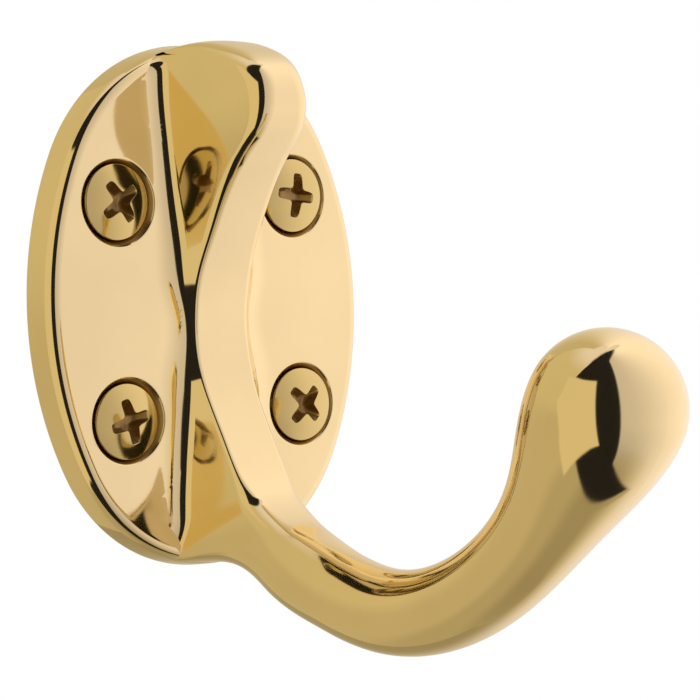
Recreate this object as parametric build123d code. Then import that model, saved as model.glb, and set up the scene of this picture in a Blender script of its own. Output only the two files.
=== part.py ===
from build123d import *
import math
import os

# All sizes are in millimetres and angles in degrees. The wall plane is XZ at y = 0, the front
# faces -Y and Z is up. Reach is the distance in front of the wall, so y = -reach.

# Wall plate
plate_height = 57.0
plate_width = 43.0
plate_end_share = 0.907
plate_thickness = 4.5
plate_edge_draft = 7.0
plate_edge_round = 1.5
crown_radius_across = 420.0
crown_radius_along = 900.0

# Screw holes
hole_spacing_across = 24.0
hole_spacing_along = 23.3
hole_rim_diameter = 9.2
hole_clearance = 0.25
seat_clearance = 0.03

# Screws
head_diameter = 8.1
head_angle = 82.0
head_edge_height = 0.45
head_dome_height = 1.3
shank_diameter = 4.2
thread_diameter = 3.6
screw_length = 12.7
point_length = 3.5
recess_span = 4.6
recess_floor_span = 2.0
recess_wing_width = 1.25
recess_floor_width = 0.9
recess_depth = 2.0
recess_turns = (35.0, -10.0, 15.0, 45.0)

# Upper lip and web
lip_reach = 18.5
lip_height = 21.7
nose_radius = 5.2
crest_reach = 10.0
crest_height = 27.9
crest_width = 3.2
crest_root_width = 5.2
crest_overhang = 0.2
shoulder_angle = 68.0
shoulder_width = 5.6
shoulder_root_width = 9.6
waist_reach = 5.5
waist_height = -3.2
bowl_radius = 21.2
band_width = 6.6
band_edge_round = 1.2
web_draft = 10.5
web_root_reach = 2.0
web_foot_rise = 2.2
web_foot_spread = 6.0
web_foot_least = 0.25
web_foot_bite = 0.08

# Angles of the web's sections round the nose and the bowl. The root shares are the heights of
# the sections at the plate, from the lip down, as shares of the plate's half height.
nose_angles = (38.0, 10.0, -18.0)
bowl_angles = (160.0, 180.0, 200.0, 214.0, 227.0)
shoulder_root_share = 0.98
root_shares = (0.92, 0.84, 0.75, 0.67, 0.54, 0.39, 0.18, -0.11, -0.42, -0.63, -0.82)

# Arm and ball
root_angles = (233.0, 242.0, 251.0)
heel_root_height = -26.9
heel_root_width = 12.4
heel_reach = 6.5
heel_height = -27.7
heel_width = 9.8
heel_round = 3.8
arm_diameter = 8.74
arm_start_reach = 19.0
arm_start_height = -28.1
bend_reach = 31.2
bend_height = -31.15
sweep_reach = 43.0
sweep_height = -28.9
rise_reach = 53.9
rise_height = -21.4
ball_diameter = 15.25
ball_reach = 63.05
ball_height = -9.75
ball_swell_length = 10.5
ball_margin = 0.1
arm_steps = 14

half_width = plate_width / 2
half_height = plate_height / 2
plate_end_radius = plate_end_share * half_width
band_half = band_width / 2
heel_half = heel_width / 2
arm_radius = arm_diameter / 2
ball_radius = ball_diameter / 2
head_radius = head_diameter / 2
shank_radius = shank_diameter / 2
across = Vector(1, 0, 0)


def at(reach, height, x=0.0):
    """Point at a distance in front of the wall and a height above the plate's middle."""
    return Vector(x, -reach, height)


def around(centre, radius, angle):
    """Point on a circle in side view, its angle taken from straight out of the wall towards up."""
    turn = math.radians(angle)
    return centre + at(radius * math.cos(turn), radius * math.sin(turn))


# Wall plate: four-centre oval with a drafted edge, a barrel-crowned face and a rounded rim


def crown_drop(offset, radius):
    """How far an arc of this radius falls at this offset from its top."""
    return radius - math.sqrt(radius**2 - offset**2)


def face_reach(x, height):
    """Reach of the plate's crowned face."""
    return plate_thickness - crown_drop(x, crown_radius_across) - crown_drop(height, crown_radius_along)


def oval():
    """Back outline of the plate: two end arcs joined by two wider side arcs, all tangent."""
    end_centre = half_height - plate_end_radius
    side_radius = (half_width**2 + end_centre**2 - plate_end_radius**2) / 2
    side_radius = side_radius / (half_width - plate_end_radius)
    side_centre = side_radius - half_width
    scale = plate_end_radius / math.hypot(side_centre, end_centre)
    joint_x = side_centre * scale
    joint_z = end_centre + end_centre * scale
    outline = Wire(
        [
            ThreePointArc((joint_x, joint_z), (0, half_height), (-joint_x, joint_z)),
            ThreePointArc((-joint_x, joint_z), (-half_width, 0), (-joint_x, -joint_z)),
            ThreePointArc((-joint_x, -joint_z), (0, -half_height), (joint_x, -joint_z)),
            ThreePointArc((joint_x, -joint_z), (half_width, 0), (joint_x, joint_z)),
        ]
    )
    return Plane.XZ * Face(outline)


def crown_profile(height):
    """Cross-section of the block behind the crowned face, at one height."""
    side = half_width + plate_thickness
    middle = face_reach(0, height)
    edge = face_reach(side, height)
    rear = -plate_thickness
    outline = Wire(
        [
            ThreePointArc(at(edge, height, -side), at(middle, height), at(edge, height, side)),
            Line(at(edge, height, side), at(rear, height, side)),
            Line(at(rear, height, side), at(rear, height, -side)),
            Line(at(rear, height, -side), at(edge, height, -side)),
        ]
    )
    return Face(outline)


def crown_block():
    """Block whose front is the crowned face, wider and taller than the plate."""
    top = half_height + plate_thickness
    return loft([crown_profile(height) for height in (-top, 0, top)])


def wall_plate():
    blank = extrude(oval(), plate_thickness, taper=plate_edge_draft) & crown_block()
    face = blank.faces().sort_by(Axis.Y)[0]
    return fillet(face.edges(), plate_edge_round)


# Lip, web, arm and ball: one body carried through sections from the lip's crest to the ball


def section_plane(front, back):
    """Plane of a section, its local y running from the front point to the back point."""
    return Plane(origin=front, x_dir=across, z_dir=across.cross(back - front))


def section(front, back, front_half, back_half, front_round, back_round):
    """Rounded trapezoid across the body, from a front point to a back point in side view."""
    depth = (back - front).length
    lean = math.atan2(back_half - front_half, depth)
    front_turn = math.pi / 2 - lean
    back_turn = math.pi / 2 + lean
    front_cut = front_round * math.tan(front_turn / 2)
    back_cut = back_round * math.tan(back_turn / 2)
    right = [
        Vector(front_half - front_cut, 0),
        Vector(
            front_half - front_cut + front_round * math.sin(front_turn / 2),
            front_round - front_round * math.cos(front_turn / 2),
        ),
        Vector(front_half + front_cut * math.sin(lean), front_cut * math.cos(lean)),
        Vector(back_half - back_cut * math.sin(lean), depth - back_cut * math.cos(lean)),
        Vector(
            back_half - back_cut + back_round * math.sin(back_turn / 2),
            depth - back_round + back_round * math.cos(back_turn / 2),
        ),
        Vector(back_half - back_cut, depth),
    ]
    left = [Vector(-point.X, point.Y) for point in right]
    outline = Wire(
        [
            Line(left[0], right[0]),
            ThreePointArc(*right[0:3]),
            Line(right[2], right[3]),
            ThreePointArc(*right[3:6]),
            Line(right[5], left[5]),
            ThreePointArc(left[5], left[4], left[3]),
            Line(left[3], left[2]),
            ThreePointArc(left[2], left[1], left[0]),
        ]
    )
    return section_plane(front, back) * Face(outline)


def web_spread(front, back):
    """How much wider the drafted web is at a section's back point than at its front band."""
    return (back - front).length * math.tan(math.radians(web_draft))


def web_section(front, back):
    """Section of the drafted web behind its front band."""
    back_half = band_half + web_spread(front, back)
    return section(front, back, band_half, back_half, band_edge_round, band_edge_round)


def face_half(height):
    """Half width of the plate's face at a height, inside the rim's draft and round."""
    past = max(abs(height) - (half_height - plate_end_radius), 0)
    rim = plate_thickness * math.tan(math.radians(plate_edge_draft)) + plate_edge_round
    return math.sqrt(plate_end_radius**2 - past**2) - rim


def foot_section(front, back, side):
    """Section of the hollow that sweeps the web out into the plate, on the side given as 1 or -1."""
    lean = math.radians(web_draft)
    face = face_reach(band_half + web_spread(front, back), back.Z)
    depth = (back - front).length * (front.Y + face) / (front.Y - back.Y)
    foot = Vector(band_half + depth * math.tan(lean), depth)
    rise = max(min(web_foot_rise, depth - band_edge_round), web_foot_least)
    spread = min(web_foot_spread * rise / web_foot_rise, face_half(back.Z) - foot.X)
    up = Vector(-math.sin(lean), -math.cos(lean)) * rise
    out = Vector(spread, 0)
    bite = Vector(-web_foot_bite, web_foot_bite)
    near = 1 - math.sqrt(0.5)
    sweep = [foot + up + bite, foot + (up + out) * near + bite, foot + out + bite]
    sweep = [Vector(side * point.X, point.Y) for point in sweep]
    inside = Vector(side * (foot.X - rise), depth + rise)
    outline = Wire(
        [
            Spline(sweep, tangents=[Vector(-side * up.X, -up.Y), Vector(side, 0)]),
            Line(sweep[2], inside),
            Line(inside, sweep[0]),
        ]
    )
    return section_plane(front, back) * Face(outline)


nose = at(lip_reach - nose_radius, lip_height)
bowl = at(waist_reach + bowl_radius, waist_height)

# The front line runs round the nose, straight along a common tangent and into the bowl
span = bowl - nose
tangent_turn = math.degrees(math.acos((nose_radius + bowl_radius) / span.length))
nose_end_angle = math.degrees(math.atan2(span.Z, -span.Y)) + tangent_turn
nose_end = around(nose, nose_radius, nose_end_angle)
bowl_start = around(bowl, bowl_radius, nose_end_angle + 180)

front_points = [around(nose, nose_radius, angle) for angle in nose_angles]
front_points += [nose_end, (nose_end + bowl_start) / 2, bowl_start]
front_points += [around(bowl, bowl_radius, angle) for angle in bowl_angles]
root_points = [at(web_root_reach, share * half_height) for share in root_shares]
web_lines = list(zip(front_points, root_points))

crest_sections = [
    section(
        at(crest_reach, crest_height),
        at(web_root_reach, half_height + crest_overhang),
        crest_width / 2,
        crest_root_width / 2,
        band_edge_round,
        band_edge_round,
    ),
    section(
        around(nose, nose_radius, shoulder_angle),
        at(web_root_reach, shoulder_root_share * half_height),
        shoulder_width / 2,
        shoulder_root_width / 2,
        band_edge_round,
        band_edge_round,
    ),
]

arm_line = Spline(
    [
        at(arm_start_reach, arm_start_height),
        at(bend_reach, bend_height),
        at(sweep_reach, sweep_height),
        at(rise_reach, rise_height),
        at(ball_reach, ball_height),
    ]
)


def arm_section(fraction):
    """Round section of the arm at a fraction of its line, swelling into the ball."""
    left_over = (1 - fraction) * arm_line.length
    swell = math.exp(-((left_over / ball_swell_length) ** 2))
    radius = arm_radius + (ball_radius - ball_margin - arm_radius) * swell
    centre = arm_line.position_at(fraction)
    inner = arm_line.tangent_at(fraction).cross(across) * radius
    corner = radius - ball_margin / 2
    return section(centre + inner, centre - inner, radius, radius, corner, corner)


arm_sections = [arm_section(step / arm_steps) for step in range(1, arm_steps + 1)]

# Between the web and the round arm the section leaves the plate's lower edge and grows rounder
heel = at(heel_reach, heel_height)
first_step = 1 / arm_steps
arm_under = arm_line.position_at(first_step) - arm_line.tangent_at(first_step).cross(across) * arm_radius
round_step = (arm_radius - band_edge_round) / 4
root_sections = [
    section(
        around(bowl, bowl_radius, root_angles[0]),
        at(web_root_reach, heel_root_height),
        band_half,
        heel_root_width / 2,
        band_edge_round + round_step,
        band_edge_round,
    ),
    section(
        around(bowl, bowl_radius, root_angles[1]),
        heel,
        band_half,
        heel_half,
        band_edge_round + 2 * round_step,
        heel_round,
    ),
    section(
        around(bowl, bowl_radius, root_angles[2]),
        (heel + arm_under) / 2,
        (band_half + arm_radius) / 2,
        (heel_half + arm_radius) / 2,
        band_edge_round + 3 * round_step,
        (heel_round + arm_radius) / 2,
    ),
]


# Screw holes and screws share the seat, measured where each screw's axis meets the face

cone_slope = math.tan(math.radians(head_angle / 2))
rim_radius = hole_rim_diameter / 2
rim_reach = face_reach(hole_spacing_across / 2, hole_spacing_along / 2)
seat_reach = rim_reach - (rim_radius - head_radius) / cone_slope
screw_places = [
    at(0, height * hole_spacing_along / 2, x * hole_spacing_across / 2)
    for height in (1, -1)
    for x in (-1, 1)
]


def turned(edges):
    """Solid turned about the wall's normal from a closed half profile."""
    return revolve(Face(Wire(edges)), Axis(at(0, 0), (0, -1, 0)), 360)


def lines(points):
    """Straight edges through half-profile points of radius and reach."""
    corners = [at(reach, 0, radius) for radius, reach in points]
    return [Line(a, b) for a, b in zip(corners, corners[1:])]


def hole_cutter():
    """Conical seat, open past the face, and clearance bore for one screw."""
    bore = shank_radius + hole_clearance
    return turned(
        lines(
            [
                (0, rim_reach + plate_thickness),
                (rim_radius + plate_thickness * cone_slope, rim_reach + plate_thickness),
                (bore, rim_reach - (rim_radius - bore) / cone_slope),
                (bore, -plate_thickness),
                (0, -plate_thickness),
                (0, rim_reach + plate_thickness),
            ]
        )
    )


def cross(span, width, reach):
    """Cross outline facing the front, for one end of the driver recess."""
    arms = Rectangle(span, width) + Rectangle(width, span)
    return Pos(*at(reach, 0)) * (Plane.XZ * arms)


def screw(recess_turn):
    """Oval-head screw, seated with its axis at the origin of the wall plane."""
    edge_reach = seat_reach + seat_clearance
    dome_start = edge_reach + head_edge_height
    dome_top = dome_start + head_dome_height
    tip_reach = edge_reach - screw_length
    neck_reach = edge_reach - (head_radius - shank_radius) / cone_slope
    dome_radius = (head_radius**2 + head_dome_height**2) / (2 * head_dome_height)
    dome_middle = dome_top - crown_drop(head_radius / 2, dome_radius)
    dome = ThreePointArc(
        at(dome_top, 0), at(dome_middle, 0, head_radius / 2), at(dome_start, 0, head_radius)
    )
    sides = lines(
        [
            (head_radius, dome_start),
            (head_radius, edge_reach),
            (shank_radius, neck_reach),
            (shank_radius, 0),
            (thread_diameter / 2, 0),
            (thread_diameter / 2, tip_reach + point_length),
            (0, tip_reach),
            (0, dome_top),
        ]
    )
    blank = turned([dome] + sides)
    recess = loft(
        [
            cross(recess_span, recess_wing_width, dome_top),
            cross(recess_floor_span, recess_floor_width, dome_top - recess_depth),
        ],
        ruled=True,
    )
    return blank - recess.rotate(Axis(at(0, 0), (0, -1, 0)), recess_turn)


body = loft(crest_sections + [web_section(*line) for line in web_lines] + root_sections + arm_sections)
hollows = [loft([foot_section(*line, side) for line in web_lines]) for side in (1, -1)]
ball = Pos(*at(ball_reach, ball_height)) * Sphere(ball_radius)
hook = wall_plate() + (body + ball) + hollows[0] + hollows[1]
for place in screw_places:
    hook -= Pos(*place) * hole_cutter()
screws = Compound(
    [Pos(*place) * screw(turn) for place, turn in zip(screw_places, recess_turns)]
)

os.makedirs("parts", exist_ok=True)
export_step(hook, "parts/hook.step")
export_step(screws, "parts/mounting_screws.step")
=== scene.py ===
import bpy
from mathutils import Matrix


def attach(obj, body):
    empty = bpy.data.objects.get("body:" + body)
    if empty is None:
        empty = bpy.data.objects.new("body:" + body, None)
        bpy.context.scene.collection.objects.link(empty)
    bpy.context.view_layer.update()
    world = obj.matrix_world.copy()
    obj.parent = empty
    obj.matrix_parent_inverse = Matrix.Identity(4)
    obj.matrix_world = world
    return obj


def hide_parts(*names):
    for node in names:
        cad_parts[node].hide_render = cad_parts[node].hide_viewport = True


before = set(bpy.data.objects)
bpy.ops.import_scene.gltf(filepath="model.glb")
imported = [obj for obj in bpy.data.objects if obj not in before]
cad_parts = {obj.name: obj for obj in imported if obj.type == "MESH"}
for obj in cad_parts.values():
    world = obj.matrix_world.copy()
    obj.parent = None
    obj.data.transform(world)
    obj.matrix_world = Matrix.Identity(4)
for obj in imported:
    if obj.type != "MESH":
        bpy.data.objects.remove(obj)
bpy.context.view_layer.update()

import math

import bpy
import numpy as np
from mathutils import Matrix

# Wall plate: the oval foot of the hook, cast in one with the ridge and the arm, then polished. Its
# face is barrel-crowned and sweeps up in a wide hollow to the foot of the ridge, its rim is rounded
# and drafted, and four countersunk holes take the screws. Sizes are in millimetres.

plate_half = (21.5, 28.5)
plate_end_radius = 19.5
plate_thickness = 4.5
plate_crown = (420.0, 900.0)
rim_round = 1.5
rim_draft = math.radians(7)
rim_margin = 0.4
back_round = 0.35
hole_place = (12.0, 11.65)
hole_rim_radius = 4.7
hole_rim_round = 0.22
hole_bore_radius = 2.35
hole_cone = math.radians(41)
bore_chamfer = 0.2
hollow_steepest = 0.78
hollow_ends = (20.5, 23.5)
rim_columns, middle_columns, face_rows = 140, 46, 22

# Foot of the ridge by height on the plate: its half width, and how far the hollow rises and spreads
foot_heights = np.array([-28, -23.5, -20, -17, -14, -11, -7, -3.5, -0.5, 3, 6, 9.5, 13.5, 18.5, 23.5, 27, 30])
foot_halves = [5.4, 5.2, 5.05, 4.8, 4.45, 4.1, 3.87, 3.72, 3.78, 4.2, 4.3, 4.55, 4.95, 5.3, 5.45, 5.3, 5.2]
foot_rises = [1.3, 1.6, 1.7, 1.8, 2.0, 2.1, 1.9, 1.3, 1.3, 1.8, 1.9, 1.9, 1.7, 1.6, 1.6, 1.4, 1.2]
foot_spreads = [2.4, 2.8, 3.0, 3.1, 3.3, 3.5, 3.9, 3.1, 2.9, 3.3, 3.1, 2.8, 2.6, 2.6, 2.6, 2.4, 2.2]


def smooth_curve(knots, values, where):
    """Natural cubic spline: the curve through all values with a continuous bend, found from the one
    set of equations that makes slope and bend agree at every knot."""
    gap = np.diff(knots)
    count = len(knots)
    matrix = np.eye(count)
    inner = np.arange(1, count - 1)
    matrix[inner, inner - 1] = gap[:-1]
    matrix[inner, inner] = 2 * (gap[:-1] + gap[1:])
    matrix[inner, inner + 1] = gap[1:]
    rise = np.diff(values, axis=0) / gap[:, None]
    right = np.zeros_like(values, dtype=float)
    right[1:-1] = 6 * np.diff(rise, axis=0)
    bend = np.linalg.solve(matrix, right)
    span = np.clip(np.searchsorted(knots, where, side="right") - 1, 0, count - 2)
    before = (where - knots[span])[:, None]
    after = (knots[span + 1] - where)[:, None]
    width = gap[span][:, None]
    low = values[span] / width - bend[span] * width / 6
    high = values[span + 1] / width - bend[span + 1] * width / 6
    cubic = (bend[span] * after**3 + bend[span + 1] * before**3) / (6 * width)
    return cubic + low * after + high * before


def smooth_step(value, start, end):
    """Rises from 0 at the start to 1 at the end, level at both."""
    share = np.clip((value - start) / (end - start), 0, 1)
    return share * share * (3 - 2 * share)


def face_reach(x, z):
    """Reach of the plate's crown: its thickness less the drop of one arc across and one along."""
    across, along = plate_crown
    drop_x = across - np.sqrt(across**2 - np.asarray(x) ** 2)
    drop_z = along - np.sqrt(along**2 - np.asarray(z) ** 2)
    return plate_thickness - drop_x - drop_z


def ridge_foot(z):
    """Half width of the ridge's foot, and the rise and spread of the hollow, at heights z."""
    values = np.column_stack([foot_halves, foot_rises, foot_spreads])
    found = smooth_curve(foot_heights, values, np.ravel(z))
    return [column.reshape(np.shape(z)) for column in found.T]


def plate_reach(x, z):
    """Reach of the face with its hollow: a quarter ellipse that leaves the crown level, its spread
    away from the ridge's foot, and steepens up to the foot. Near the ends the ridge covers it."""
    half, rise, spread = ridge_foot(z)
    share = np.clip((half + spread - np.abs(x)) / spread, 0, hollow_steepest)
    kept = 1 - smooth_step(np.abs(z), *hollow_ends)
    return face_reach(x, z) + kept * rise * (1 - np.sqrt(1 - share**2))


def oval_point(turn, inset):
    """Point of the four-centre oval whose outward normal has this turn, moved inwards by the inset:
    the arc's centre plus its radius less the inset, along the normal."""
    end_centre = plate_half[1] - plate_end_radius
    side_radius = plate_half[0] ** 2 + end_centre**2 - plate_end_radius**2
    side_radius = side_radius / 2 / (plate_half[0] - plate_end_radius)
    side_centre = side_radius - plate_half[0]
    on_side = turn < math.atan2(end_centre, side_centre)
    radius = np.where(on_side, side_radius, plate_end_radius) - inset
    x = np.where(on_side, -side_centre, 0) + radius * np.cos(turn)
    z = np.where(on_side, 0, end_centre) + radius * np.sin(turn)
    return x, z


def rim_profile(turn):
    """Inset and reach of the rim at each turn round the oval, from the face over the round and down
    the drafted wall to the back: two arcs, each tangent to the straight runs beside it."""
    near = rim_round + rim_margin
    x, z = oval_point(turn, near)
    slope = x / plate_crown[0] * np.cos(turn) + z / plate_crown[1] * np.sin(turn)
    lean = np.arctan(slope)
    base = face_reach(x, z) - slope * near
    corner_reach = base / (1 - slope * math.tan(rim_draft))
    corner_inset = corner_reach * math.tan(rim_draft)
    run = rim_round / np.tan((np.pi / 2 + rim_draft + lean) / 2)
    centre_inset = corner_inset + run * np.cos(lean) + rim_round * np.sin(lean)
    centre_reach = corner_reach + run * np.sin(lean) - rim_round * np.cos(lean)
    share = np.linspace(0, 1, 15)[:, None]
    bend = (np.pi / 2 + lean) + share * (np.pi / 2 - rim_draft - lean)
    front_arc = (centre_inset + rim_round * np.cos(bend), centre_reach + rim_round * np.sin(bend))
    back_run = back_round / math.tan((np.pi / 2 - rim_draft) / 2)
    bend = np.pi - rim_draft + np.linspace(0, 1, 6)[:, None] * (np.pi / 2 + rim_draft)
    back_inset = np.repeat(back_run + back_round * np.cos(bend), len(turn), 1)
    back_reach = np.repeat(back_round + back_round * np.sin(bend), len(turn), 1)
    return np.vstack([front_arc[0], back_inset]), np.vstack([front_arc[1], back_reach])


def hole_profile(mouth, face):
    """Radius and reach down one hole, from the face over the rounded mouth, down the cone and along
    the bore to the back, for a mouth radius and face reach given at each point round the hole."""
    bend = np.linspace(0, np.pi / 2 - hole_cone, 7)[:, None]
    arc_radius = mouth + hole_rim_round * (math.tan((np.pi / 2 - hole_cone) / 2) - np.sin(bend))
    arc_reach = face - hole_rim_round * (1 - np.cos(bend))
    cone_end = arc_reach[-1] - (arc_radius[-1] - hole_bore_radius) / math.tan(hole_cone)
    bore = np.full(len(face), hole_bore_radius)
    down = np.array([0.04, 0.3, 0.65])[:, None]
    cone_radius = arc_radius[-1] + down * (bore - arc_radius[-1])
    cone_reach = arc_reach[-1] + down * (cone_end - arc_reach[-1])
    low = np.zeros(len(face))
    radius = np.vstack([arc_radius, cone_radius, bore, bore, bore + bore_chamfer])
    reach = np.vstack([arc_reach, cone_reach, cone_end, low + bore_chamfer, low])
    return radius, reach


def strip_faces(rows, columns, closed):
    """Quads between neighbouring rows and columns of a grid, numbered row by row. A closed grid
    joins its last column to its first."""
    row, column = np.meshgrid(np.arange(rows - 1), np.arange(columns - (not closed)), indexing="ij")
    after = (column + 1) % columns
    start = row * columns
    quads = [start + column, start + columns + column, start + columns + after, start + after]
    return np.stack(quads, -1).reshape(-1, 4)


def plate_quarter(end):
    """Points and quads of the quarter plate round one hole, for the upper end as 1 or the lower as
    -1. Each column runs straight from a point on the quarter's outline to the hole's mouth, down the
    hole, and back out along the rear face; the rim is a second sheet that joins the two outlines. The
    mouth is found in a few rounds, because its radius grows with the reach of the face there."""
    turn = np.linspace(0, np.pi / 2, rim_columns)
    inset, reach = rim_profile(turn)
    rim_x, rim_z = oval_point(turn, inset)
    step = np.linspace(0, 1, middle_columns)[1:]
    zero = np.zeros_like(step)

    def outline(row):
        x = np.concatenate([rim_x[row], zero, rim_x[row, 0] * step[:-1]])
        z = np.concatenate([rim_z[row], rim_z[row, -1] * (1 - step), zero[:-1]])
        return x, z

    front_x, front_z = outline(0)
    rear_x, rear_z = outline(-1)
    angle = np.arctan2(front_z - hole_place[1], front_x - hole_place[0])
    mouth = np.full(angle.shape, hole_rim_radius)
    for _ in range(6):
        mouth_x = hole_place[0] + mouth * np.cos(angle)
        mouth_z = hole_place[1] + mouth * np.sin(angle)
        face = plate_reach(mouth_x, end * mouth_z)
        mouth = hole_rim_radius + (face - face_reach(*hole_place)) * math.tan(hole_cone)
    radius, depth = hole_profile(mouth, face)
    hole_x = hole_place[0] + radius * np.cos(angle)
    hole_z = hole_place[1] + radius * np.sin(angle)
    share = np.concatenate([[0, 0.015], np.linspace(0.05, 0.95, face_rows), [0.985]])[:, None]
    sheet_x = front_x + share * (hole_x[0] - front_x)
    sheet_z = front_z + share * (hole_z[0] - front_z)
    share = np.linspace(0, 1, 4)[1:, None]
    floor_x = hole_x[-1] + share * (rear_x - hole_x[-1])
    floor_z = hole_z[-1] + share * (rear_z - hole_z[-1])
    x = np.vstack([sheet_x, hole_x, floor_x])
    z = np.vstack([sheet_z, hole_z, floor_z])
    y = np.vstack([plate_reach(sheet_x, end * sheet_z), depth, np.zeros_like(floor_x)])
    sheet = np.stack([x, -y, z], -1)
    rim = np.stack([rim_x, -reach, rim_z], -1)
    quads = strip_faces(*x.shape, True)
    rim_quads = strip_faces(*rim_x.shape, False)[:, ::-1] + x.size
    return np.vstack([sheet.reshape(-1, 3), rim.reshape(-1, 3)]), np.vstack([quads, rim_quads])


def mirrored(points, quads, side_x, side_z):
    """The quarter moved to another corner by its two signs, with its quads turned over if only one
    of the signs is negative."""
    turned = quads if side_x * side_z > 0 else quads[:, ::-1]
    return points * np.array([side_x, 1, side_z]), turned


def build_piece(name, sheets, material):
    """One mesh object from sheets of points in millimetres and their quads, with doubled points
    merged where sheets meet, all faces smooth."""
    counts = np.cumsum([0] + [len(points) for points, _ in sheets])
    points = np.vstack([points for points, _ in sheets]) * 0.001
    quads = np.vstack([quads + start for (_, quads), start in zip(sheets, counts)])
    place, kept = np.unique(np.round(points, 8), axis=0, return_inverse=True)
    quads = kept.reshape(-1)[quads]
    distinct = np.array([len(set(quad)) for quad in quads.tolist()])
    faces = [list(dict.fromkeys(quad)) for quad in quads[distinct > 2].tolist()]
    mesh = bpy.data.meshes.new(name)
    mesh.from_pydata(place.tolist(), [], faces)
    mesh.shade_smooth()
    mesh.materials.append(material)
    piece = bpy.data.objects.new(name, mesh)
    bpy.context.collection.objects.link(piece)
    return piece


hook_sheets = [
    mirrored(*plate_quarter(side_z), side_x, side_z) for side_x in (1, -1) for side_z in (1, -1)
]

# Ridge, lip, arm and ball: one swelling bar that stands on the plate, cast with it and polished by
# hand. Its front is a band with softened edges that leans out into the lip above, its flanks run
# into the plate's hollow, and below it grows round, swings out as the arm and ends in a ball.

nose_centre, nose_radius = np.array([13.3, 21.7]), 5.2
bowl_centre, bowl_radius = np.array([27.0, -1.9]), 21.3
arm_radius = 4.38
ball_radius = 7.63
ball_swell_length = 10.5
arm_points = np.array([[19.0, -28.1], [31.2, -31.15], [43.0, -28.9], [53.9, -21.4], [63.05, -9.75]])
hollow_start = math.asin(0.72)
hollow_bared = (17.5, 21.0)
path_steps_lip, path_steps = 26, 300

# How the bar's skin meets the plate's: the skirt that runs out and under the face, how proud the
# skin stands before it, the least drop from front to foot, the largest edge round on the plate, and
# the margin kept to the plate's ends
skirt_reach = 1.6
skirt_spread, skirt_fall = [0.4, 0.8], 0.04
hollow_proud = 0.012
foot_drop = 0.05
foot_edge_most = 2.6
end_margin = 0.5


def circle_point(centre, radius, angle):
    """Points on a circle in side view, the angle taken from straight out of the wall towards up."""
    angle = np.radians(np.atleast_1d(angle))
    return centre + radius * np.stack([np.cos(angle), np.sin(angle)], -1)


def arm_frame(share):
    """Centre and inward direction of the arm at a share of its length, from the curve through the
    arm's points, and the length left to the ball's middle."""
    knots = np.concatenate([[0], np.cumsum(np.linalg.norm(np.diff(arm_points, axis=0), axis=1))])
    where = share * knots[-1]
    nudge = 0.01
    centre = smooth_curve(knots, arm_points, where)
    along = smooth_curve(knots, arm_points, where + nudge) - smooth_curve(knots, arm_points, where - nudge)
    along = along / np.linalg.norm(along, axis=1)[:, None]
    inward = np.stack([-along[:, 1], along[:, 0]], -1)
    return centre, inward, knots[-1] - where


# Stations down the bar: front and root points in side view, half widths, edge rounds, and the share
# of the oval's bow that the lip's top takes over from the plate
tilt = math.degrees(math.acos((nose_radius + bowl_radius) / np.linalg.norm(bowl_centre - nose_centre)))
leave = math.degrees(math.atan2(*(bowl_centre - nose_centre)[::-1])) + tilt
nose_end = circle_point(nose_centre, nose_radius, leave)
bowl_start = circle_point(bowl_centre, bowl_radius, leave + 180)
arm_share = np.concatenate([np.linspace(0.1, 1, 32), [1.03, 1.06]])
arm_centre, arm_inward, arm_left = arm_frame(arm_share)
arm_size = arm_radius + (ball_radius - arm_radius) * np.exp(-((arm_left / ball_swell_length) ** 2))
arm_round = arm_size - 0.03
fronts = np.vstack(
    [
        [[2.2, 27.85], [4.4, 28.2], [6.4, 28.45], [8.6, 28.4], [10.8, 28.0]],
        circle_point(nose_centre, nose_radius, [68, 38, 10, -18]),
        nose_end,
        (nose_end + bowl_start) / 2,
        bowl_start + [0.35, 0],
        [[9.3, 8.4], [7.45, 5.0]],
        circle_point(bowl_centre, bowl_radius, [180, 200, 214]),
        [[12.3, -18.8], [13.95, -20.4], [16.75, -22.3], [19.8, -23.7]],
        arm_centre + arm_inward * arm_size[:, None],
    ]
)
root_heights = [27.0, 25.9, 24.5, 23.2, 22.0, 20.9, 19.8, 18.7, 17.6, 16.4, 14.9, 13.0]
root_heights += [8.2, 4.8, -1.9, -10.5, -17.0, -23.0, -26.9]
heel = np.array([6.5, -27.7])
arm_under = arm_centre[0] - arm_inward[0] * arm_size[0]
roots = np.vstack(
    [
        [[2.0, height] for height in root_heights],
        [heel, (heel + arm_under) / 2],
        arm_centre - arm_inward * arm_size[:, None],
    ]
)
front_half = [5.4, 5.3, 5.05, 4.75, 4.4, 3.75, 3.45, 3.45, 3.5, 3.55, 3.6, 3.6]
front_half += [3.5, 3.45, 3.4, 3.4, 3.4, 3.45, 3.5, 3.65, 3.95]
root_half = [5.5] * 18 + [6.2, 4.9, 4.63]
front_round = [0.1, 0.4, 1.2, 1.9, 2.4, 2.6, 2.6, 2.4, 2.1, 1.8, 1.6, 1.4]
front_round += [1.2, 1.05, 0.9, 0.6, 0.6, 1.1, 2.1, 2.6, 3.4]
root_round = [0.8] * 19 + [3.8, 4.1]
bow = [1.0, 1.0, 0.95, 0.8, 0.6, 0.25] + [0.0] * (len(fronts) - 6)
station = np.column_stack(
    [
        fronts,
        roots,
        np.concatenate([front_half, arm_size]),
        np.concatenate([root_half, arm_size]),
        np.concatenate([front_round, arm_round]),
        np.concatenate([root_round, arm_round]),
        bow,
    ]
)
knots = np.concatenate([[0], np.cumsum(np.linalg.norm(np.diff(fronts + roots, axis=0), axis=1) / 2)])

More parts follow.
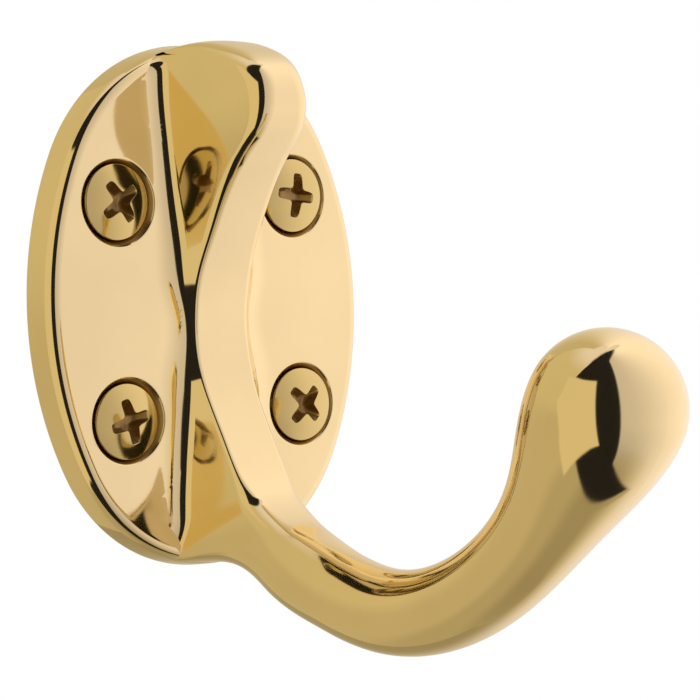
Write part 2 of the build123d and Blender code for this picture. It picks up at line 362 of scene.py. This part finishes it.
# Places along the bar: close together over the lip's top, then even down to the ball's middle. The
# outline changes from the footed one to the round one on the way to the heel
lip_end, ball_middle = knots[3], knots[-3]
lip_path = np.linspace(0, lip_end, path_steps_lip)[:-1]
path = np.concatenate([lip_path, np.linspace(lip_end, ball_middle, path_steps)])
station = smooth_curve(knots, station, path)
fade_start, fade_end = knots[17], knots[19]
fade = np.clip((path - fade_start) / (fade_end - fade_start), 0, 1)
fade = fade**3 * (10 - 15 * fade + 6 * fade**2)
flat_shares = np.linspace(0, 0.995, 9)
arc_shares = np.linspace(0, 1, 12)
flank_shares = np.concatenate([[0.01], np.linspace(0.08, 0.92, 12), [0.99]])


def round_half(depth, front, root, front_edge, root_edge):
    """Half outline of a rounded trapezoid for every station at once, as width and depth: flat front,
    edge arc, leaning flank, edge arc, flat back, each arc tangent to its two sides."""
    lean = np.arctan2(root - front, depth)
    front_turn = (np.pi / 2 - lean) * arc_shares
    root_turn = np.pi / 2 - lean + (np.pi / 2 + lean) * np.linspace(0, 1, 15)
    front_x = front - front_edge * np.tan((np.pi / 2 - lean) / 2)
    root_x = root - root_edge * np.tan((np.pi / 2 + lean) / 2)
    arc_x = front_x + front_edge * np.sin(front_turn)
    arc_y = front_edge * (1 - np.cos(front_turn))
    low_x = root_x + root_edge * np.sin(root_turn)
    low_y = depth - root_edge * (1 + np.cos(root_turn))
    flank_x = arc_x[:, -1:] + flank_shares * (low_x[:, :1] - arc_x[:, -1:])
    flank_y = arc_y[:, -1:] + flank_shares * (low_y[:, :1] - arc_y[:, -1:])
    back = np.linspace(0.9, 0, 5)
    x = np.hstack([flat_shares * front_x, arc_x, flank_x, low_x, back * root_x])
    y = np.hstack([0 * flat_shares * front_x, arc_y, flank_y, low_y, depth + 0 * back])
    return x, y


def rim_drop(x, z):
    """How far the plate's face falls away at a point near its ends: nothing inside, then the rim's
    round as a quarter circle, then the steep wall."""
    inset = plate_end_radius - np.hypot(x, np.maximum(np.abs(z) - plate_half[1] + plate_end_radius, 0))
    inset = inset - plate_thickness * math.tan(rim_draft)
    over = np.clip(rim_round - inset, 0, rim_round)
    wall = np.maximum(-inset, 0) / math.tan(rim_draft)
    return rim_round - np.sqrt(rim_round**2 - over**2) + wall


def footed_half(front, root, inward, half, edge, bow):
    """The half outline where the bar stands on the plate, as width, reach and height: flat front,
    edge arc, flank, then down the plate's hollow, a short skirt into the plate, and back to the
    middle. The hollow's points lie on the plate's own quarter ellipse, and the flank is its tangent
    from the front edge, worked out where spread and rise are both 1 and the ellipse is a circle. All
    of it stands a hair proud of the plate, so that the skirt alone passes under its face."""
    slope = (root[:, 1:] - front[:, 1:]) / (root[:, :1] - front[:, :1])
    foot_z = front[:, 1:] + np.minimum((plate_thickness - front[:, :1]) * slope, -foot_drop)
    foot, rise, spread = ridge_foot(foot_z)
    base = face_reach(foot, foot_z)
    wide = (foot + spread - half) / spread
    deep = (base + rise - front[:, :1]) / rise
    away = np.maximum(np.hypot(wide, deep), 1.001)
    steep = np.arctan2(wide, deep) - np.arccos(1 / away)
    lean = np.arctan2(-inward[:, :1] * spread * np.cos(steep), rise * np.sin(steep))
    turn = (np.pi / 2 - lean) * arc_shares
    edge_x = half - edge * np.tan((np.pi / 2 - lean) / 2)
    near_x = np.hstack([flat_shares * edge_x, edge_x + edge * np.sin(turn)])
    near_y = np.hstack([0 * flat_shares * edge_x, edge * (1 - np.cos(turn))])
    bowed = bow * near_x**2 / (2 * plate_end_radius)
    near_reach = front[:, :1] + near_y * inward[:, :1]
    near_z = front[:, 1:] + near_y * inward[:, 1:] - bowed
    flat = hollow_start * (1 - smooth_step(np.abs(foot_z), *hollow_bared))
    down = np.linspace(0, 1, 14)
    bend = steep + (flat - steep) * np.concatenate([down, np.ones_like(skirt_spread)])
    skirt = np.concatenate([0 * down, skirt_spread])
    hollow_z = np.minimum(foot_z + rise * (1 - np.cos(bend)) * slope, front[:, 1:] - foot_drop)
    foot, rise, spread = ridge_foot(hollow_z)
    share = np.sin(bend) - skirt / spread
    hollow_x = foot + spread * (1 - share)
    lift = rise * (1 - np.sqrt(1 - np.maximum(share, 0) ** 2)) + hollow_proud - skirt_fall * skirt
    past = np.maximum(np.abs(hollow_z) - plate_half[1] + plate_end_radius, 0)
    room = np.maximum((plate_end_radius - end_margin) ** 2 - past**2, 0.01)
    hollow_x = np.minimum(hollow_x, np.sqrt(room))
    hollow_reach = face_reach(hollow_x, hollow_z) - rim_drop(hollow_x, hollow_z) + lift
    hollow_reach = np.maximum(hollow_reach, skirt_reach)
    back = np.array([0.98, 0.66, 0.33, 0.0])
    outline = []
    for near, hollow in ((near_x, hollow_x), (near_reach, hollow_reach), (near_z, hollow_z)):
        flank = near[:, -1:] + flank_shares * (hollow[:, :1] - near[:, -1:])
        outline.append(np.hstack([near, flank, hollow]))
    last_x, last_z = hollow_x[:, -1:], hollow_z[:, -1:]
    ends = (last_x * back, skirt_reach + 0 * last_x * back, last_z + 0 * back)
    return [np.hstack([column, end]) for column, end in zip(outline, ends)]


def bar_sheet():
    """Points and quads of the bar: at every station the half outline is laid from the front point
    towards the root point and mirrored, and the last sections close over the ball."""
    front, root = station[:, :2], station[:, 2:4]
    depth = np.linalg.norm(root - front, axis=1)[:, None]
    inward = (root - front) / depth
    half, root_width, edge, root_edge, bowing = [station[:, column : column + 1] for column in range(4, 9)]
    round_x, round_y = round_half(depth, half, root_width, edge, root_edge)
    round_reach = front[:, :1] + round_y * inward[:, :1]
    round_z = front[:, 1:] + round_y * inward[:, 1:]
    on_plate = np.minimum(path, fade_end)
    held = smooth_curve(knots, np.column_stack([fronts, roots]), on_plate)
    lie = held[:, 2:] - held[:, :2]
    lie = lie / np.linalg.norm(lie, axis=1)[:, None]
    edge = np.minimum(edge, foot_edge_most)
    foot_x, foot_reach, foot_z = footed_half(held[:, :2], held[:, 2:], lie, half, edge, bowing)
    blend = fade[:, None]
    x = foot_x + blend * (round_x - foot_x)
    reach = foot_reach + blend * (round_reach - foot_reach)
    z = foot_z + blend * (round_z - foot_z)
    sheet = np.stack([x, -reach, z], -1)
    other = sheet[:, -2:0:-1] * np.array([-1, 1, 1])
    sheet = np.hstack([sheet, other])
    centre, inside, _ = arm_frame(np.array([1.0]))
    out = np.array([0, -inside[0, 1], -inside[0, 0]])
    turn = np.linspace(0, np.pi / 2, 26)[1:, None, None]
    middle = np.array([0, -centre[0, 0], centre[0, 1]])
    spoke = sheet[-1] - middle
    reach_out = np.linalg.norm(spoke, axis=1).mean()
    cap = middle + spoke * np.cos(turn) + out * reach_out * np.sin(turn)
    sheet = np.vstack([sheet[:1] * np.array([0, 1, 1]), sheet, cap])
    return sheet.reshape(-1, 3), strip_faces(*sheet.shape[:2], True)


hook_colour, hook_dull = (0.87, 0.73, 0.42), 0.07
# Painted shade: the brown, duller colour given to the holes' cones and the screws' recesses in place of the
# shade in these deep gaps
painted_shade_colour, painted_shade_dull = (0.40, 0.27, 0.11), 0.3
hole_shade_margin, hole_shade_depth = 0.4, 0.1


def mark_painted_shade(piece, painted_shade):
    """Store how much painted shade the brass takes at each point, from 0 for none to 1 for full."""
    mark = piece.data.attributes.new("painted_shade", "FLOAT", "POINT")
    mark.data.foreach_set("value", painted_shade.astype(np.float32))


def mesh_points(piece):
    """The piece's points in millimetres."""
    points = np.empty(len(piece.data.vertices) * 3)
    piece.data.vertices.foreach_get("co", points)
    return points.reshape(-1, 3) * 1000


def polished_brass(name, colour, dull):
    """Polished brass: a metal whose colour drifts a little with large soft noise, whose gloss is
    broken by fine polishing haze, and whose surface waves very slightly. Where the shade attribute
    is 1 the brass is painted dark brown and duller: painted shade for the deep recesses."""
    material = bpy.data.materials.new(name)
    material.use_nodes = True
    nodes, links = material.node_tree.nodes, material.node_tree.links
    shader = nodes["Principled BSDF"]
    shader.inputs["Metallic"].default_value = 1.0
    place = nodes.new("ShaderNodeTexCoord")

    def noise(scale, detail):
        node = nodes.new("ShaderNodeTexNoise")
        node.inputs["Scale"].default_value = scale
        node.inputs["Detail"].default_value = detail
        links.new(place.outputs["Object"], node.inputs["Vector"])
        return node

    drift, haze, wave = noise(90.0, 5.0), noise(420.0, 6.0), noise(260.0, 3.0)
    tone = nodes.new("ShaderNodeValToRGB")
    tone.color_ramp.elements[0].position = 0.3
    tone.color_ramp.elements[0].color = (*[0.94 * part for part in colour], 1)
    tone.color_ramp.elements[1].position = 0.7
    tone.color_ramp.elements[1].color = (*colour, 1)
    gloss = nodes.new("ShaderNodeMapRange")
    gloss.inputs["To Min"].default_value = dull * 0.7
    gloss.inputs["To Max"].default_value = dull * 1.3
    bump = nodes.new("ShaderNodeBump")
    bump.inputs["Strength"].default_value = 0.12
    bump.inputs["Distance"].default_value = 0.00003
    painted_shade = nodes.new("ShaderNodeAttribute")
    painted_shade.attribute_name = "painted_shade"
    brown = nodes.new("ShaderNodeMixRGB")
    brown.inputs["Color2"].default_value = (*painted_shade_colour, 1)
    dulled = nodes.new("ShaderNodeMath")
    dulled.operation = "MULTIPLY_ADD"
    dulled.inputs[1].default_value = painted_shade_dull
    links.new(drift.outputs["Fac"], tone.inputs["Fac"])
    links.new(painted_shade.outputs["Fac"], brown.inputs["Fac"])
    links.new(tone.outputs["Color"], brown.inputs["Color1"])
    links.new(brown.outputs["Color"], shader.inputs["Base Color"])
    links.new(haze.outputs["Fac"], gloss.inputs["Value"])
    links.new(painted_shade.outputs["Fac"], dulled.inputs[0])
    links.new(gloss.outputs["Result"], dulled.inputs[2])
    links.new(dulled.outputs["Value"], shader.inputs["Roughness"])
    links.new(wave.outputs["Fac"], bump.inputs["Height"])
    links.new(bump.outputs["Normal"], shader.inputs["Normal"])
    return material


hook_brass = polished_brass("hook_brass", hook_colour, hook_dull)
hook_sheets.append(bar_sheet())
hook = build_piece("hook_body", hook_sheets, hook_brass)
hook_x, hook_y, hook_z = mesh_points(hook).T
from_axis = np.hypot(np.abs(hook_x) - hole_place[0], np.abs(hook_z) - hole_place[1])
below_face = plate_reach(hook_x, hook_z) + hook_y
# Painted shade on the holes' cones, below the rounded mouth and off the back face
in_hole = (from_axis < hole_rim_radius + hole_shade_margin) & (below_face > hole_shade_depth)
off_back = hook_y < -0.01
mark_painted_shade(hook, in_hole & off_back)
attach(hook, "root")
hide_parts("hook")

# Mounting screws: four oval-head brass wood screws, driven home in the plate's countersunk holes. The
# heads are turned, the cross recess is punched into them and painted brown and dull as shade, the thread is
# rolled.

head_radius = 4.05
dome_top, dome_start = 5.05, 4.10
dome_radius = (head_radius**2 + (dome_top - dome_start) ** 2) / 2 / (dome_top - dome_start)
recess_top = (2.48, 0.66)
recess_floor = (1.2, 0.5)
recess_reach = 3.2
recess_square, recess_join = 5, 4
recess_shade_depth, recess_shade_margin = 0.06, 0.1
thread_radius, thread_height, thread_pitch = 1.8, 0.34, 1.4
point_start, point_tip = -5.55, -9.05
screw_turns = (((-1, 1), 35), ((1, 1), -10), ((-1, -1), 15), ((1, -1), 45))
screw_colour, screw_dull = (0.67, 0.53, 0.22), 0.13

# Radius and reach below the dome: the head's edge, its cone, and the neck down to the thread
head_edge = [[4.05, 4.06], [4.05, 3.72], [4.02, 3.65], [3.3, 2.8]]
neck = [[2.15, 1.48], [2.1, 1.38], [2.1, 0.1]]


def cross_radius(turn, arm):
    """Radius of a cross-shaped outline by direction: two long squarish ovals at right angles, each a
    power mean of its length and width, joined by a power mean that rounds the inner corners."""
    across, along = np.abs(np.cos(turn)), np.abs(np.sin(turn))
    one = ((across / arm[0]) ** recess_square + (along / arm[1]) ** recess_square) ** (-1 / recess_square)
    two = ((along / arm[0]) ** recess_square + (across / arm[1]) ** recess_square) ** (-1 / recess_square)
    return (one**recess_join + two**recess_join) ** (1 / recess_join)


def dome_reach(radius):
    """Reach of the dome, part of a sphere, by the distance from the screw's axis."""
    return dome_top - dome_radius + np.sqrt(dome_radius**2 - radius**2)


def screw_sheet(side, recess_turn):
    """Points and quads of one screw, as rows from the middle of the recess outwards over the domed
    head, down its edge and cone, and along the thread, a helical ridge, to the point."""
    turn = np.linspace(0, 2 * np.pi, 160, endpoint=False)
    low = cross_radius(turn - np.radians(recess_turn), recess_floor)
    top = cross_radius(turn - np.radians(recess_turn), recess_top)
    wall = np.array([0, 0.3, 0.6, 0.85, 0.97, 1])[:, None]
    wall_radius = low + wall * (top - low)
    dome = np.array([0.02, 0.06, 0.15, 0.3, 0.45, 0.6, 0.75, 0.88, 0.96, 0.99])[:, None]
    dome_wide = top + dome * (head_radius - top)
    wall_reach = recess_reach + wall * (dome_reach(top) - recess_reach)
    edge = np.array(head_edge + neck)[:, :, None] + 0 * turn
    depth = np.linspace(0, point_tip, 62)[:, None]
    thick = thread_radius * np.clip((depth - point_tip) / (point_start - point_tip), 0, 1)
    ridge = 0.5 + 0.5 * np.cos(2 * np.pi * depth / thread_pitch + turn)
    kept = smooth_step(-depth, 0.2, 1.5) * np.clip(thick / thread_radius, 0, 1)
    thread = thick + thread_height * kept * (ridge**2 - 0.4)
    radius = np.vstack([0 * low, 0.6 * low, wall_radius, dome_wide, edge[:, 0], thread])
    floor = np.full((2, len(turn)), recess_reach)
    reach = np.vstack([floor, wall_reach, dome_reach(dome_wide), edge[:, 1], depth + 0 * turn])
    x = side[0] * hole_place[0] + radius * np.cos(turn)
    z = side[1] * hole_place[1] + radius * np.sin(turn)
    return np.stack([x, -reach, z], -1).reshape(-1, 3), strip_faces(*x.shape, True)


screw_brass = polished_brass("screw_brass", screw_colour, screw_dull)
screws = build_piece("screws", [screw_sheet(side, turn) for side, turn in screw_turns], screw_brass)
screw_x, screw_y, screw_z = mesh_points(screws).T
from_axis = np.hypot(np.abs(screw_x) - hole_place[0], np.abs(screw_z) - hole_place[1])
below_dome = dome_reach(np.minimum(from_axis, head_radius)) + screw_y
# Painted shade inside the cross recess: its walls and floor, below the dome
in_recess = (from_axis < recess_top[0]) & (below_dome > recess_shade_depth)
over_floor = -screw_y > recess_reach - recess_shade_margin
mark_painted_shade(screws, in_recess & over_floor)
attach(screws, "root")
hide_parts("mounting_screws")

# Tent: the studio's cloth round the hook, seen only in the brass. A warm cloth hangs behind, a panel
# of it stands on the left, a broad white sweep curves round the right, and a dark gap between them,
# open from below to overhead, is where the camera looks in.

tent_centre = np.array([0.0, -0.063, -0.010])
tent_radius = 0.33
tent_white = np.array([1.0, 0.89, 0.845])
tent_warm = np.array([1.0, 0.83, 0.49])
gap_glow = 0.02
panel_glow = 0.78
back_glow, overhead_glow = 0.6, 0.88
sweep_glow, sweep_low_glow = 0.68, 0.38

# Where the cloths hang, in degrees: azimuth runs from straight ahead to the right, height from level
# upwards. A pair is where a soft edge starts and ends; the sweep's top and bottom have the direction
# of their highest or lowest place and their steepness
back_middle = 171
overhead_edge = (50, 76)
sweep_edge = (-28, -25)
sweep_top, sweep_bottom = (30, 6.3), (22, 3.5)
sweep_far = (120, 165)
panel_left, panel_right = (-118, -116), (-62, -60)
panel_bottom, panel_top = (-42, -40), (43, 45)
panel_slant = 0.07


def edge_height(azimuth, middle, steep):
    """Height of a straight cloth edge in degrees: its tangent is the steepness times the cosine of the
    turn away from the middle direction, held above zero."""
    return np.degrees(np.arctan(steep * np.maximum(np.cos(np.radians(azimuth - middle)), 0.05)))


def tent_colour(azimuth, height):
    """Glow of the tent by direction, from smooth steps: the back cloth fills the half behind an
    upright plane and pales overhead, the sweep brightens towards the right and grows warm and dim
    towards the back and straight below, the panel stands at the back's left edge, and the rest is
    the dark gap."""
    turned = np.radians(azimuth - back_middle)
    behind = smooth_step(np.cos(turned) * np.cos(np.radians(height)), -0.015, 0.015)
    top = edge_height(azimuth, *sweep_top) + 60 * smooth_step(azimuth, 97, 120)
    bottom = -edge_height(azimuth, *sweep_bottom) - 60 * smooth_step(azimuth, 86, 100)
    sweep = smooth_step(azimuth, *sweep_edge) * smooth_step(height - bottom, -1, 1)
    sweep = sweep * (1 - smooth_step(height - top, -1, 1))
    panel = smooth_step(azimuth, *panel_left) * (1 - smooth_step(azimuth, *panel_right))
    panel = panel * smooth_step(height - panel_slant * azimuth, *panel_bottom)
    panel = panel * (1 - smooth_step(height, *panel_top))
    side = sweep_glow + 0.5 * smooth_step(azimuth, -26, 85) - 0.56 * smooth_step(azimuth, 98, 165)
    side = side * (1 - 0.15 * smooth_step(-height, 10, 50))
    far = smooth_step(azimuth, *sweep_far)
    side = side * (1 - 0.3 * far * smooth_step(-height, 5, 25))
    side = side + (sweep_low_glow - side) * smooth_step(-height, 40, 84)
    far = np.maximum(far, smooth_step(-height, 45, 82))
    back = back_glow + 0.1 * smooth_step(height, -10, 15) - 0.1 * smooth_step(-height, 35, 50)
    back = back - 0.12 * smooth_step(-height, 60, 80)
    overhead = smooth_step(height, *overhead_edge)
    hung = (1 - sweep) * (1 - panel) * behind
    white = gap_glow + sweep * (1 - far) * side + overhead_glow * hung * overhead
    warm = sweep * far * side + hung * back * (1 - overhead) + panel_glow * panel
    return white[..., None] * tent_white + warm[..., None] * tent_warm


azimuth, height = np.meshgrid(np.linspace(-180, 180, 361), np.linspace(-90, 90, 181))
turn_a, turn_h = np.radians(azimuth), np.radians(height)
tent_points = np.stack(
    [np.sin(turn_a) * np.cos(turn_h), -np.cos(turn_a) * np.cos(turn_h), np.sin(turn_h)], -1
)
tent_points = tent_centre + tent_radius * tent_points
tent_mesh = bpy.data.meshes.new("tent")
tent_mesh.from_pydata(
    tent_points.reshape(-1, 3).tolist(), [], strip_faces(*azimuth.shape, False).tolist()
)
glow = tent_mesh.attributes.new("glow", "FLOAT_COLOR", "POINT")
glow_values = np.ones((azimuth.size, 4))
glow_values[:, :3] = tent_colour(azimuth, height).reshape(-1, 3)
glow.data.foreach_set("color", glow_values.ravel())
tent_cloth = bpy.data.materials.new("tent_cloth")
tent_cloth.use_nodes = True
tent_nodes, tent_links = tent_cloth.node_tree.nodes, tent_cloth.node_tree.links
tent_nodes.clear()
tent_light = tent_nodes.new("ShaderNodeEmission")
tent_read = tent_nodes.new("ShaderNodeAttribute")
tent_read.attribute_name = "glow"
tent_end = tent_nodes.new("ShaderNodeOutputMaterial")
tent_links.new(tent_read.outputs["Color"], tent_light.inputs["Color"])
tent_links.new(tent_light.outputs["Emission"], tent_end.inputs["Surface"])
tent_cloth.cycles.emission_sampling = "NONE"
tent_mesh.materials.append(tent_cloth)
tent = bpy.data.objects.new("tent", tent_mesh)
bpy.context.collection.objects.link(tent)
tent.visible_camera = False
tent.visible_diffuse = False
tent.visible_shadow = False

# Floor and background: a plain white floor below the tent, which shows no gloss, and plain white
# light all round. Neither is part of the hook.

floor_height = -0.36
floor_size = 6.0
floor_mesh = bpy.data.meshes.new("floor")
floor_signs = ((-1, -1), (1, -1), (1, 1), (-1, 1))
floor_corners = [(x * floor_size, y * floor_size, floor_height) for x, y in floor_signs]
floor_mesh.from_pydata(floor_corners, [], [(0, 1, 2, 3)])
floor_paint = bpy.data.materials.new("floor_paint")
floor_paint.use_nodes = True
floor_shader = floor_paint.node_tree.nodes["Principled BSDF"]
floor_shader.inputs["Base Color"].default_value = (1, 1, 1, 1)
floor_shader.inputs["Roughness"].default_value = 1.0
floor_shader.inputs["Specular IOR Level"].default_value = 0.0
floor_mesh.materials.append(floor_paint)
floor = bpy.data.objects.new("floor", floor_mesh)
bpy.context.collection.objects.link(floor)

scene = bpy.context.scene
world = bpy.data.worlds.new("studio")
world.use_nodes = True
world.node_tree.nodes["Background"].inputs["Color"].default_value = (1, 1, 1, 1)
world.node_tree.nodes["Background"].inputs["Strength"].default_value = 1.0
scene.world = world
scene.view_settings.view_transform = "Standard"

# Camera: level with the plate, to the left of the hook, with a long lens. Its place is in metres, and
# its own right, up and back directions turn it.

camera_data = bpy.data.cameras.new("camera")
camera_data.sensor_width = 36.0
camera_data.lens = 140.16
camera_data.clip_start = 0.01
camera = bpy.data.objects.new("camera", camera_data)
bpy.context.collection.objects.link(camera)
camera_place = (-0.180974, -0.239086, 0.009353)
right_way = (0.75872, -0.64998, -0.04316)
up_way = (0.06523, 0.00988, 0.99782)
back_way = (-0.64814, -0.75989, 0.04990)
camera_turn = Matrix([right_way, up_way, back_way]).transposed().to_4x4()
camera.matrix_world = Matrix.Translation(camera_place) @ camera_turn
scene.camera = camera
